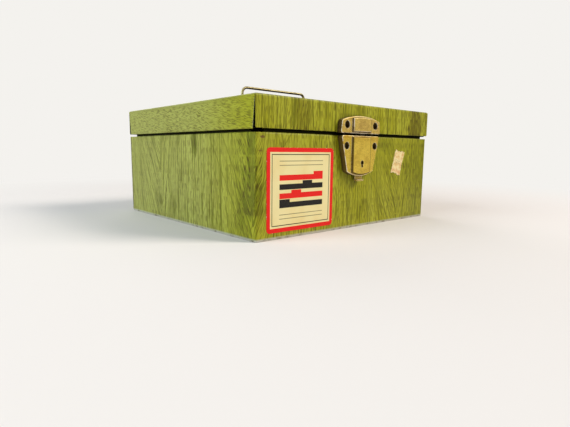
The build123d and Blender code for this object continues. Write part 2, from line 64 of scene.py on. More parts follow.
def ink(*levels: int) -> Colour:
    """Turns a screen colour, its red, green and blue from 0 to 255, into the linear one that shaders use."""
    shares = (level / 255 for level in levels)
    return tuple(s / 12.92 if s <= 0.04045 else ((s + 0.055) / 1.055) ** 2.4 for s in shares)


def dimmed(colour: Colour, share: float) -> Colour:
    """A colour with every channel brought down to a share of itself."""
    return tuple(share * channel for channel in colour)


def node_corners(node: str) -> tuple[Point, Point]:
    """Lowest and highest corner of a frame node, in millimetres."""
    return tuple(tuple(float(place) / MM for place in corner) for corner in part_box(node))


def operator(operation: str, swapped: bool = False) -> Callable[["Value", "Term"], "Value"]:
    """Makes an operator for values.

    Args:
        operation: What its Math node does.
        swapped: Whether the value stands on the right, as in a reflected form.

    Returns:
        The operator, as a method of Value.
    """
    def apply(value: "Value", other: "Term") -> "Value":
        """Adds the Math node for a value and another term."""
        return value.graph.math(operation, *((other, value) if swapped else (value, other)))

    return apply


class Value:
    """A shader socket that can stand in a Python expression; each operator adds a Math node."""

    __add__, __radd__ = operator("ADD"), operator("ADD", swapped=True)
    __sub__, __rsub__ = operator("SUBTRACT"), operator("SUBTRACT", swapped=True)
    __mul__, __rmul__ = operator("MULTIPLY"), operator("MULTIPLY", swapped=True)
    __truediv__, __rtruediv__ = operator("DIVIDE"), operator("DIVIDE", swapped=True)
    __pow__ = operator("POWER")
    __gt__, __lt__ = operator("GREATER_THAN"), operator("LESS_THAN")
    least, most = operator("MINIMUM"), operator("MAXIMUM")

    def __init__(self, graph: "Graph", socket: bpy.types.NodeSocket) -> None:
        """Keeps the socket and the graph that it belongs to."""
        self.graph = graph
        self.socket = socket

    def __abs__(self) -> "Value":
        """This value without its sign."""
        return self.graph.math("ABSOLUTE", self)

    def sign(self) -> "Value":
        """One, nought or minus one, as this value is above, at or below nought."""
        return self.graph.math("SIGN", self)

    def step(self, low: float, high: float) -> "Value":
        """A soft step: 0 at low, 1 at high and smooth between; low may be the greater."""
        sockets = {"Value": self, "From Min": low, "From Max": high}
        return self.graph.out(self.graph.node("MapRange", {"interpolation_type": "SMOOTHSTEP"}, sockets))


Term = Value | float
Tint = Value | Colour


@dataclass(frozen=True)
class Spot:
    """Where a shading point lies, in millimetres, and which way it faces, both in the part's frame."""

    x: Value
    y: Value
    z: Value
    face_x: Value
    face_y: Value
    face_z: Value

    def noise(self, size: float | Point, detail: float = 0.0, roughness: float = 0.5) -> Value:
        """Smooth noise in space from 0 to 1, of a size in millimetres for all axes or of one for each."""
        wide, deep, tall = size if isinstance(size, tuple) else (size,) * 3
        return self.x.graph.noise(self.x / wide, self.y / deep, self.z / tall, detail, roughness)


class Graph:
    """The node tree of one material or of the world."""

    def __init__(self, owner: bpy.types.Material | bpy.types.World) -> None:
        """Switches the nodes on and clears them.

        Args:
            owner: The material or the world that they belong to.
        """
        owner.use_nodes = True
        self.tree = owner.node_tree
        self.tree.nodes.clear()

    def node(
        self, kind: str, settings: Mapping[str, object], sockets: Mapping[str | int, object]
    ) -> bpy.types.Node:
        """Makes one node: its settings come first, then its sockets.

        Args:
            kind: Node type, without the leading ShaderNode.
            settings: Properties of the node by name.
            sockets: Input sockets by name or place, each with a number, a colour, a vector or a link.

        Returns:
            The new node.
        """
        node = self.tree.nodes.new("ShaderNode" + kind)
        for name, setting in settings.items():
            setattr(node, name, setting)
        for key, given in sockets.items():
            socket = node.inputs[key]
            if isinstance(given, Value):
                self.tree.links.new(given.socket, socket)
            elif socket.type == "RGBA":
                socket.default_value = (*given, 1.0)
            else:
                socket.default_value = given
        return node

    def out(self, node: bpy.types.Node, key: str | int = 0) -> Value:
        """One output of a node as a value."""
        return Value(self, node.outputs[key])

    def math(self, operation: str, *terms: Term) -> Value:
        """One Math node on one or two terms."""
        return self.out(self.node("Math", {"operation": operation}, dict(enumerate(terms))))

    def spot(self) -> Spot:
        """Place and facing of the shading point.

        Returns:
            Object coordinates in millimetres and the object's own normal, split into channels.
        """
        coordinates = self.node("TexCoord", {}, {})
        grown = self.node("VectorMath", {"operation": "SCALE"},
                          {"Vector": self.out(coordinates, "Object"), "Scale": 1 / MM})
        place = self.node("SeparateXYZ", {}, {0: self.out(grown)})
        facing = self.node("SeparateXYZ", {}, {0: self.out(coordinates, "Normal")})
        return Spot(*(self.out(part, axis) for part in (place, facing) for axis in range(3)))

    def noise(self, x: Term, y: Term, z: Term = 0.0, detail: float = 0.0, roughness: float = 0.5) -> Value:
        """Smooth noise from 0 to 1, one unit of its coordinates to a feature.

        Args:
            x: First coordinate.
            y: Second coordinate.
            z: Third coordinate, or a seed.
            detail: How many finer layers are added.
            roughness: How strong each finer layer is.

        Returns:
            The noise.
        """
        place = self.out(self.node("CombineXYZ", {}, {0: x, 1: y, 2: z}))
        sockets = {"Vector": place, "Scale": 1.0, "Detail": detail, "Roughness": roughness}
        return self.out(self.node("TexNoise", {"noise_dimensions": "3D"}, sockets), "Fac")

    def coats(self, base: Tint, *coats: tuple[Term, Tint]) -> Value:
        """Lays coats of colour over a base.

        Args:
            base: The colour below them all.
            coats: How strongly each coat covers what is under it, from 0 to 1, and its colour.

        Returns:
            The colour on top.
        """
        for cover, tint in coats:
            sockets = {0: cover, 6: base, 7: tint}
            base = self.out(self.node("Mix", {"data_type": "RGBA", "clamp_factor": True}, sockets), 2)
        return base

    def rounded(self, radius: float) -> Value:
        """The normal of the surface with its sharp edges rounded to a radius in millimetres."""
        return self.out(self.node("Bevel", {"samples": 6}, {"Radius": radius * MM}))

    def edge(self, radius: float) -> Value:
        """Nearness of a sharp edge: 0 on plain faces, about 0.3 on a square edge.

        Args:
            radius: How far from the edge it shows, in millimetres.

        Returns:
            One less the cosine between the rounded normal and the surface's own.
        """
        own = self.out(self.node("NewGeometry", {}, {}), "Normal")
        cosine = self.node("VectorMath", {"operation": "DOT_PRODUCT"}, {0: self.rounded(radius), 1: own})
        return 1 - self.out(cosine, "Value")

    def hollow(self, reach: float) -> Value:
        """How shut in a point is, from 0 to 1, by walls within a reach in millimetres."""
        occlusion = self.node("AmbientOcclusion", {"samples": 8}, {"Distance": reach * MM})
        return 1 - self.out(occlusion, "AO")

    def bump(self, height: Value, rounding: float = 0.0) -> Value:
        """A normal for a shader.

        Args:
            height: Height of the surface, in millimetres.
            rounding: Radius that sharp edges are shaded with, in millimetres.

        Returns:
            The normal of the surface with the height on it.
        """
        sockets: dict[str | int, object] = {"Strength": 1.0, "Distance": MM, "Height": height}
        if rounding:
            sockets["Normal"] = self.rounded(rounding)
        return self.out(self.node("Bump", {}, sockets))

    def surface(self, sockets: Mapping[str | int, object]) -> None:
        """Ends the tree in one surface shader with the given sockets."""
        shader = self.node("BsdfPrincipled", {}, sockets)
        self.node("OutputMaterial", {}, {"Surface": self.out(shader)})


class Finish(ABC):
    """The look of one material."""

    name: str

    @abstractmethod
    def paint(self, graph: Graph) -> None:
        """Adds the finish's nodes to an empty graph."""

    def material(self) -> bpy.types.Material:
        """Makes the material.

        Returns:
            A new material that carries this finish.
        """
        made = bpy.data.materials.new(self.name)
        self.paint(Graph(made))
        return made


class Blank(Enum):
    """How a printed sheet is folded up from its flat blank."""

    WALL_STRIP = "one strip round the four walls, grain upright"
    LID_BLANK = "a top with four skirts, grain from front to back"


class Layer(Enum):
    """Noise on the flat sheet: feature size across and along the grain in millimetres, seed and detail."""

    SWAY = (30.0, 80.0, 0.0, 0.0)
    WAVER = (8.0, 26.0, 7.0, 0.0)
    RIPPLE = (4.0, 6.0, 3.0, 1.0)
    BROAD = (17.0, 150.0, 13.0, 1.0)
    STREAK = (3.0, 70.0, 29.0, 1.0)
    THREAD = (1.6, 30.0, 23.0, 1.0)
    DASH = (0.85, 6.0, 31.0, 0.0)
    CROWD = (13.0, 24.0, 37.0, 0.0)
    FIBRE = (2.0, 16.0, 5.0, 2.0)
    BREAK = (4.0, 11.0, 47.0, 1.0)
    RAGGED = (0.9, 0.9, 41.0, 2.0)
    SMEAR = (22.0, 14.0, 43.0, 3.0)

    def noise(self, across: Value, along: Value, seed: float) -> Value:
        """The layer's noise at a place on a sheet with a seed of its own."""
        width, length, own_seed, detail = self.value
        return across.graph.noise(across / width, along / length, seed + own_seed, detail)


@dataclass(frozen=True)
class Figure:
    """A pointed figure in the grain: lines that lean away from an axis meet there in nested V shapes.

    Lengths are millimetres on the flat sheet. A lean is millimetres across for each millimetre along.
    """

    axis: float
    foot: float
    left_lean: float
    right_lean: float
    left_reach: float
    right_reach: float
    tip: float = 2.5

    def lean(self, across: Value) -> Value:
        """How far the lines lean at a place.

        Args:
            across: Place across the grain.

        Returns:
            The left lean on the left of the axis and less the right lean on its right, each fading to
            nought over its reach, with a soft change over the tip.
        """
        left = across.step(self.axis - self.left_reach, self.axis - self.left_reach / 3)
        left = left * across.step(self.axis + self.tip, self.axis - self.tip)
        right = across.step(self.axis + self.right_reach, self.axis + self.right_reach / 3)
        right = right * across.step(self.axis - self.tip, self.axis + self.tip)
        return left * self.left_lean - right * self.right_lean


@dataclass(frozen=True)
class Patch:
    """An oval on the flat sheet, in millimetres, how strongly it shows and how much of it is solid."""

    across: float
    along: float
    half_width: float
    half_length: float
    strength: float
    solid: float = 0.3

    def cover(self, across: Value, along: Value, ragged: Value) -> Value:
        """How strongly the patch shows at a place.

        Args:
            across: Place across the grain.
            along: Place along the grain.
            ragged: Noise about nought that frays the rim.

        Returns:
            The strength within the solid middle, fading to nought at the oval's rim.
        """
        wide = (across - self.across) / self.half_width
        long = (along - self.along) / self.half_length
        reach = (wide * wide + long * long) ** 0.5
        return (reach + ragged).step(1.0, self.solid) * self.strength


@dataclass(frozen=True)
class Vee:
    """A dark line of the grain that comes down to a point and goes up again, in millimetres on the sheet."""

    across: float
    along: float
    left_lean: float
    right_lean: float
    half_width: float
    strength: float

    def cover(self, across: Value, along: Value) -> Value:
        """How strongly the line shows at a place.

        Args:
            across: Place across the grain.
            along: Place along the grain.

        Returns:
            The strength within the half width of either arm, which leans as far as it rises times its lean.
        """
        rise = along - self.along
        shift = across - self.across
        apart = abs(shift + rise * self.left_lean).least(abs(shift - rise * self.right_lean))
        near = apart.step(self.half_width, LINE_CORE * self.half_width)
        return near * rise.step(-1.0, 1.0) * self.strength


@dataclass(frozen=True)
class Line:
    """One dark line along the grain, in millimetres on the flat sheet."""

    across: float
    half_width: float
    strength: float

    def cover(self, across: Value) -> Value:
        """How strongly the line shows at a place across the grain."""
        return abs(across - self.across).step(self.half_width, LINE_CORE * self.half_width) * self.strength


@dataclass(frozen=True)
class InnerLacquer:
    """Tan lacquer on the inside of the sheet, rubbed by what the box held and darker towards its corners."""

    rub_size: Point
    cloud_size: float = 8.0
    fleck_size: float = 1.2
    corner_reach: float = 7.0
    tan: Colour = ink(166, 157, 112)
    rubbed: Colour = ink(206, 198, 160)
    stain: Colour = ink(98, 78, 46)

    def colour(self, graph: Graph, spot: Spot) -> Value:
        """Colour of the lacquer.

        Args:
            graph: Graph of the material.
            spot: Place and facing.

        Returns:
            Tan with soft clouds, pale rub lines drawn out as far as the rub size says, small stains, and
            darker where the sheet is shut in.
        """
        cloud = spot.noise(self.cloud_size, detail=3.0).step(0.35, 0.7)
        rub = spot.noise(self.rub_size, detail=2.0).step(0.54, 0.72)
        fleck = spot.noise(self.fleck_size, detail=2.0).step(0.66, 0.74)
        # Darker where nearby walls shut the lacquer in
        corner = graph.hollow(self.corner_reach).step(0.35, 0.85)
        return graph.coats(
            self.tan, (cloud * 0.6, dimmed(self.tan, 0.7)), (rub * 0.4, self.rubbed),
            (fleck * 0.7, self.stain), (corner * 0.5, self.stain))


@dataclass(frozen=True)
class WoodPrint(Finish):
    """Olive wood grain printed on sheet steel under clear lacquer, with plain lacquer on the inside.
    Painted shade darkens the lid gap, the seams and where parts shut it in; a painted haze pales the sides.

    A step is the noise at which a mark begins to show and that at which it shows in full. The skirt shares
    say by how much a mark is weaker, or a dash narrower, on the lid's side skirts.
    """

    name: str
    blank: Blank
    low: Point
    high: Point
    seed: float
    patches: tuple[Patch, ...]
    lines: tuple[Line, ...]
    figures: tuple[Figure, ...] = ()
    vees: tuple[Vee, ...] = ()
    chips: tuple[Patch, ...] = ()
    rear_wall: float = 1.0
    lip_foot: float = ABOVE_ALL
    lip_fade: float = 0.5
    lip_guard: Flat = (1.0, 3.0)
    # Strength of a pale steel band along the foot: partly bare steel, partly a painted highlight on the
    # bottom edge
    foot_wear_and_highlight: float = 0.0
    foot_rise: Flat = (1.1, 0.3)
    sway: float = 5.0
    waver: float = 2.4
    ripple: float = 0.0
    slant: float = 0.12
    bend_reach: float = 3.0
    fray: float = 1.1
    skirt_tone: float = 0.4
    skirt_streak: float = 0.8
    skirt_thread: float = 0.7
    skirt_dash: float = 0.2
    broad_step: Flat = (0.28, 0.72)
    pale_step: Flat = (0.5, 0.38)
    streak_step: Flat = (0.55, 0.66)
    streak_depth: float = 0.42
    thread_step: Flat = (0.54, 0.64)
    thread_depth: float = 0.65
    dash_step: Flat = (0.51, 0.6)
    dash_depth: float = 0.4
    crowd_step: Flat = (0.45, 0.7)
    fibre_step: Flat = (0.6, 0.44)
    break_step: Flat = (0.2, 0.5)
    edge_radius: float = 0.5
    edge_step: Flat = (0.02, 0.12)
    rub_size: float = 7.0
    rub_step: Flat = (0.35, 0.62)
    seam_corner: float = 1.5
    seam_front: float = 0.8
    seam_reach: float = 6.0
    seam_fall: Flat = (3.0, 10.0)
    # Reach and step of painted contact shade, where nearby parts shut the outside in
    contact_shade_reach: float = 3.0
    contact_shade_step: Flat = (0.2, 0.7)
    chip_fray: float = 1.6
    buckle_size: Point = (55.0, 55.0, 40.0)
    buckle_height: float = 0.5
    peel_size: float = 0.9
    peel_height: float = 0.004
    # Strength and reach of a painted reflection: a pale haze on the side faces, growing towards the back
    haze_strength: float = 0.09
    haze_reach: float = 90.0
    pale: Colour = ink(168, 168, 46)
    plain: Colour = ink(148, 147, 14)
    deep: Colour = ink(98, 99, 0)
    shade: Colour = ink(98, 106, 0)
    pore: Colour = ink(80, 70, 6)
    # Near black: painted shade for the lip seen in the gap under the lid, for the seams and for contact shade
    lip: Colour = ink(30, 30, 10)
    lining: InnerLacquer = InnerLacquer((1.3, 1.3, 24.0))
    steel: Colour = ink(206, 204, 190)
    rust: Colour = ink(98, 66, 34)
    # Colour of the painted reflection haze
    haze_colour: Colour = ink(206, 214, 214)

    def flat_place(self, spot: Spot) -> tuple[Value, Value]:
        """Unfolds the sheet.

        Args:
            spot: Place and facing on the folded sheet.

        Returns:
            Place across and along the grain on the flat blank. Folded faces carry on the distance of the
            face that they are bent from, so the grain runs on round each bend.
        """
        side = spot.x.sign()
        depth = self.high[1] - self.low[1]
        if self.blank is Blank.WALL_STRIP:
            rear = spot.y > self.high[1] - self.rear_wall
            walls = spot.x + side * (spot.y - self.low[1])
            behind = 2 * self.high[0] + depth - spot.x
            return walls + (behind - walls) * rear, spot.z
        drop = self.high[2] - spot.z
        folded = abs(spot.face_x) > FACING
        ends = (spot.face_y > FACING) - (spot.face_y < -FACING)
        return spot.x + side * drop * folded, spot.y + drop * ends

    def grain(self, graph: Graph, across: Value, along: Value, painted_haze: Value) -> Value:
        """Colour of the print.

        Args:
            graph: Graph of the material.
            across: Place across the grain, in millimetres.
            along: Place along the grain, in millimetres.
            painted_haze: How strongly a painted haze, a pale reflection, lies over the print, from 0 to 1.

        Returns:
            The colour. Streaks, threads and dashes are noise drawn out along the grain, on a place across
            it that sways, ripples on the lid's side skirts and leans where a figure stands.
        """
        def layer(kind: Layer, place: Value) -> Value:
            """One layer of noise, at a place across the grain."""
            return kind.noise(place, along, self.seed)

        bent = across + (layer(Layer.SWAY, across) - 0.5) * self.sway
        bent = bent + (layer(Layer.WAVER, across) - 0.5) * self.waver
        skirt: Term = 0.0
        if self.ripple:
            skirt = abs(across).step(self.high[0] - self.bend_reach, self.high[0] + self.bend_reach)
            wave = layer(Layer.RIPPLE, across) - 0.5
            bent = bent + (wave * self.ripple + across.sign() * along * self.slant) * skirt
        for figure in self.figures:
            bent = bent + figure.lean(across) * (along - figure.foot)
        broad, streak, thread, fibre = (
            layer(kind, bent) for kind in (Layer.BROAD, Layer.STREAK, Layer.THREAD, Layer.FIBRE))
        crowd, break_up = (layer(kind, across) for kind in (Layer.CROWD, Layer.BREAK))
        dash = layer(Layer.DASH, bent / (1 - self.skirt_dash * skirt))
        wavy = across + (crowd - 0.5) * self.waver
        frayed = (fibre - 0.5) * self.fray
        dark = reduce(Value.most, (patch.cover(across, along, frayed) for patch in self.patches))
        dark = dark * (0.6 + 0.4 * fibre.step(*self.fibre_step))
        ruled = reduce(Value.most, (line.cover(wavy) for line in self.lines))
        for vee in self.vees:
            ruled = ruled.most(vee.cover(wavy, along))
        calm = 1 - self.skirt_tone * skirt
        streaks = streak.step(*self.streak_step) * (1 - self.skirt_streak * skirt) * self.streak_depth
        threads = thread.step(*self.thread_step) * (1 - self.skirt_thread * skirt) * self.thread_depth
        crowded = 0.15 * crowd.step(*self.crowd_step)
        flecks = dash.step(*self.dash_step) * (self.dash_depth + crowded + 0.1 * skirt + 0.6 * dark)
        return graph.coats(
            self.plain,
            (broad.step(*self.broad_step) * calm, self.pale),
            (thread.step(*self.pale_step) * calm * self.thread_depth, self.pale),
            (painted_haze * self.haze_strength, self.haze_colour),
            (streaks, self.deep),
            (threads, self.deep),
            (dark, self.shade),
            (ruled * break_up.step(*self.break_step), self.deep),
            (flecks, self.pore))

    def seams(self, spot: Spot) -> tuple[Value, Value, Value]:
        """Finds the open seams beside the lid's front skirt.

        Args:
            spot: Place and facing.

        Returns:
            The faces in the seams, which get near-black painted shade; the ends of the front skirt, which
            aren't worn; and the side skirts beside the seams, whose edges are rubbed more towards their foot.
        """
        front = spot.y < self.low[1] + self.seam_front
        corner = abs(spot.x) > self.high[0] - self.seam_corner
        sideways = abs(spot.face_x) > SIDEWAYS
        dark = (sideways * front).most(corner * (spot.face_y < -FACING) * (1 - front))
        fall = spot.z.step(*(self.high[2] - depth for depth in self.seam_fall))
        return dark, corner * front, sideways * (spot.y < self.low[1] + self.seam_reach) * fall

    def paint(self, graph: Graph) -> None:
        """Prints the outside, lacquers the inside, and bares steel on rubbed edges and in rusty chips; paints
        shade in the gap, the seams and where parts shut it in, a haze on the sides and a highlight at the
        foot.

        Args:
            graph: Empty graph of the material.
        """
        spot = graph.spot()
        across, along = self.flat_place(spot)
        middle = (self.low[2] + self.high[2]) / 2
        inside = (spot.face_x * spot.x + spot.face_y * spot.y + spot.face_z * (spot.z - middle)) < 0
        outside = 1 - inside
        # Painted shade: the lip's outside above the lip foot is near black, as the gap under the lid is dark
        lip = spot.z.step(self.lip_foot, self.lip_foot + self.lip_fade) * outside
        # Painted shade: darker where nearby parts shut the outside in, under the lid and around the latch
        contact_shade = graph.hollow(self.contact_shade_reach).step(*self.contact_shade_step) * outside
        # Painted reflection: a pale haze on the side faces, growing from the front towards the back
        painted_haze = (abs(spot.face_x) > SIDEWAYS) * spot.y.step(self.low[1], self.low[1] + self.haze_reach)
        ragged = (Layer.RAGGED.noise(across, along, self.seed) - 0.5) * self.chip_fray
        chipped = (chip.cover(across, along, ragged) * outside for chip in self.chips)
        colour = graph.coats(
            self.grain(graph, across, along, painted_haze), ((contact_shade * 0.6).most(lip), self.lip),
            (inside, self.lining.colour(graph, spot)), *((chip, self.rust) for chip in chipped))
        edge = graph.edge(self.edge_radius).step(*self.edge_step)
        worn = edge * spot.noise(self.rub_size, detail=2.0).step(*self.rub_step)
        worn = worn * spot.z.step(*(self.lip_foot - drop for drop in self.lip_guard))
        # A pale steel band along the foot of the walls: partly bare steel, partly a painted highlight
        foot = spot.z.step(*(self.low[2] + rise for rise in self.foot_rise))
        worn = worn.most(foot * outside * self.foot_wear_and_highlight)
        if self.blank is Blank.LID_BLANK:
            seam, front_ends, beside = self.seams(spot)
            # Painted shade: the seam faces are near black
            colour = graph.coats(colour, (seam, self.lip))
            lip = lip.most(seam)
            worn = (worn * (1 - front_ends)).most(edge * beside)
        worn = worn * (1 - lip)
        buckle = spot.noise(self.buckle_size) * self.buckle_height
        peel = spot.noise(self.peel_size) * self.peel_height
        smear = Layer.SMEAR.noise(across, along, self.seed)
        graph.surface({
            "Base Color": graph.coats(colour, (worn * 0.8, self.steel)),
            "Metallic": (worn * 0.6).most(lip),
            "Roughness": 0.34 + 0.14 * smear + 0.15 * inside + 0.4 * lip,
            "Specular IOR Level": 0.2,
            "Normal": graph.bump(buckle + peel),
        })


@dataclass(frozen=True)
class PanLacquer(Finish):
    """The floor pan: lacquer inside, bare rolled steel on its folded rim and scuffs underneath."""

    name: str
    low: Point
    high: Point
    rim: float = 1.6
    mottle_size: float = 8.0
    scratch_size: Point = (26.0, 0.8, 1.0)
    lining: InnerLacquer = InnerLacquer((26.0, 0.9, 24.0))
    steel: Colour = ink(198, 195, 182)
    scuff: Colour = ink(112, 96, 66)

    def paint(self, graph: Graph) -> None:
        """Lacquers all but the rim and rubs the underside.

        Args:
            graph: Empty graph of the material.
        """
        spot = graph.spot()
        outer = (abs(spot.x) > self.high[0] - self.rim).most(abs(spot.y) > self.high[1] - self.rim)
        bare = outer * (spot.z < self.low[2] + self.rim)
        under = spot.face_z < -SIDEWAYS
        mottle = spot.noise(self.mottle_size, detail=3.0)
        scratch = spot.noise(self.scratch_size, detail=2.0)
        rubbed = under * (mottle * 0.6 + scratch * 0.4).step(0.48, 0.6)
        rim = graph.coats(self.steel, (mottle.step(0.5, 0.68) * 0.7, self.scuff))
        colour = graph.coats(self.lining.colour(graph, spot), (rubbed * 0.7, self.steel),
                             (bare * (1 - 0.5 * under), rim))
        graph.surface({
            "Base Color": colour,
            "Metallic": bare * 0.8,
            "Roughness": 0.36 + 0.2 * mottle,
            "Specular IOR Level": 0.35,
            "Normal": graph.bump(mottle * 0.03 + scratch * rubbed * 0.02),
        })


@dataclass(frozen=True)
class AgedBrass(Finish):
    """Brass plate that is speckled, tarnished and browned with painted shade in its hollows, on its turned
    sides and under its bar, and pale on its edges with painted highlights and rubbing.
    """

    name: str
    clean: Colour = ink(232, 204, 84)
    dull: Colour = ink(208, 177, 70)
    amber: Colour = ink(168, 116, 20)
    brown: Colour = ink(42, 20, 4)
    # Near white: painted highlight on sharp edges and rounded rims, together with rubbing
    rubbed: Colour = ink(250, 240, 222)
    pitting: float = 0.4
    pit_size: float = 0.6
    metal: float = 0.6
    roughness: float = 0.36
    edge_radius: float = 0.4
    hollow_reach: float = 5.0
    # Step of the brown in the hollows: tarnish and painted shade
    tarnish_and_shade_step: Flat = (0.12, 0.4)
    wing_face: float | None = None
    wing_round: float = 0.6
    brow_shine: float = 0.0
    brow_depth: Flat = (-0.9, -1.2)
    panel_depth: float = -1.3
    panel_side: float = 10.3
    line_width: Flat = (0.6, 0.2)
    turned_step: Flat = (0.97, 0.85)
    level_step: Flat = (0.3, 0.7)
    head: float = ABOVE_ALL
    head_stain: float = 6.0
    bar_foot: float | None = None
    bar_fade: float = 2.0
    underside_turn: Flat = (0.4, -0.05)
    cloud_size: Point = (5.0, 5.0, 4.0)
    wipe_size: Point = (1.1, 4.0, 14.0)

    def stamped(self, spot: Spot) -> tuple[Value, Value]:
        """Parts a stamping that faces the front into its turned sides and its rounded rims.

        Args:
            spot: Place and facing.

        Returns:
            Where painted shade lies: on the slopes and the flanks, less so where they face up, and in a line
                down
            the right side of the panel. Then where painted highlights lie, on the rims of the wings and, as
            far as the brow shine says, of the panel, where they are rounded.
        """
        turned = abs(spot.face_y).step(*self.turned_step)
        depth = spot.y - self.wing_face
        rim = (depth > -0.05) * depth.step(self.wing_round, 0.6 * self.wing_round)
        brow = depth.step(*self.brow_depth) * self.brow_shine
        level = spot.face_z.step(*self.level_step)
        shaded = turned * (1 - rim) * (1 - brow) * (1 - level * 0.5)
        # Painted shade: a brown line down the right side of the panel
        line = abs(spot.x - self.panel_side).step(*self.line_width) * (depth < self.panel_depth)
        return shaded.most(line * 0.6), turned * rim.most(brow) * (1 - level * 0.8)

    def paint(self, graph: Graph) -> None:
        """Clouds and speckles the plate, browns it with tarnish and painted shade in its hollows, on its
        turned sides and under its bar, and paints highlights and rubbing on its edges.

        Args:
            graph: Empty graph of the material.
        """
        spot = graph.spot()
        cloud = spot.noise(self.cloud_size, detail=3.0, roughness=0.6)
        pit = spot.noise(self.pit_size, detail=1.0)
        wipe = spot.noise(self.wipe_size, detail=2.0)
        # Tarnish and painted shade: brown where nearby surfaces, the box's wall too, shut the brass in
        shut = graph.hollow(self.hollow_reach).step(*self.tarnish_and_shade_step)
        # Painted highlight and rubbing: pale on sharp edges, not in hollows
        ridge = graph.edge(self.edge_radius).step(0.012, 0.1) * (1 - shut)
        if self.wing_face is not None:
            turned, rim = self.stamped(spot)
            # Painted shade: the turned slopes and flanks are browned, less where they face up
            shut = shut.most(turned * 0.9)
            # Painted highlight on the rounded rims of the wings and the panel
            ridge = (ridge * (1 - turned)).most(rim)
        ridge = ridge * cloud.step(0.66, 0.52)
        # Painted shade: the underside of the handle's bar is browned
        if self.bar_foot is not None:
            bar = spot.z.step(self.bar_foot - self.bar_fade, self.bar_foot)
            shut = shut.most(spot.face_z.step(*self.underside_turn) * bar)
        speck = pit.step(0.54, 0.64) * self.pitting
        stained = (spot.z + cloud * 2).step(self.head - self.head_stain, self.head)
        colour = graph.coats(
            self.clean, (cloud.step(0.35, 0.7), self.dull), (wipe.step(0.5, 0.8) * 0.3, self.dull),
            (stained * 0.35, self.amber), (speck, dimmed(self.amber, 0.6)), (shut * 0.92, self.brown),
            (ridge * 0.85, self.rubbed))
        graph.surface({
            "Base Color": colour,
            "Metallic": self.metal * (1 - 0.6 * shut) * (1 - 0.6 * ridge),
            "Roughness": self.roughness + 0.16 * cloud + 0.2 * speck + 0.25 * shut,
            "Specular IOR Level": 0.3,
            "Normal": graph.bump(pit * -0.025 + wipe * 0.006, self.edge_radius),
        })


@dataclass(frozen=True)
class MillSteel(Finish):
    """Bare, plated or blued steel with rolling marks and some staining."""

    name: str
    bright: Colour
    stain: Colour
    staining: float
    roughness: float
    roll: Point
    edge_shine: float = 0.6
    edge_radius: float = 0.4
    blot_size: float = 9.0
    speck_size: float = 0.6
    polish: Colour = ink(226, 224, 216)

    def paint(self, graph: Graph) -> None:
        """Draws fine lines along the roll, soft stains and paler edges.

        Args:
            graph: Empty graph of the material.
        """
        spot = graph.spot()
        lines = spot.noise(self.roll, detail=3.0, roughness=0.6)
        blot = spot.noise(self.blot_size, detail=3.0)
        speck = spot.noise(self.speck_size, detail=1.0)
        stained = (blot * 0.75 + speck * 0.25).step(0.46, 0.66) * self.staining
        ridge = graph.edge(self.edge_radius).step(0.02, 0.12) * self.edge_shine
        colour = graph.coats(self.bright, (lines * 0.35, dimmed(self.bright, 0.62)), (stained, self.stain),
                             (ridge, self.polish))
        graph.surface({
            "Base Color": colour,
            "Metallic": 1 - 0.7 * stained,
            "Roughness": self.roughness + 0.16 * lines + 0.25 * stained,
            "Normal": graph.bump(lines * 0.012 + speck * 0.006),
        })


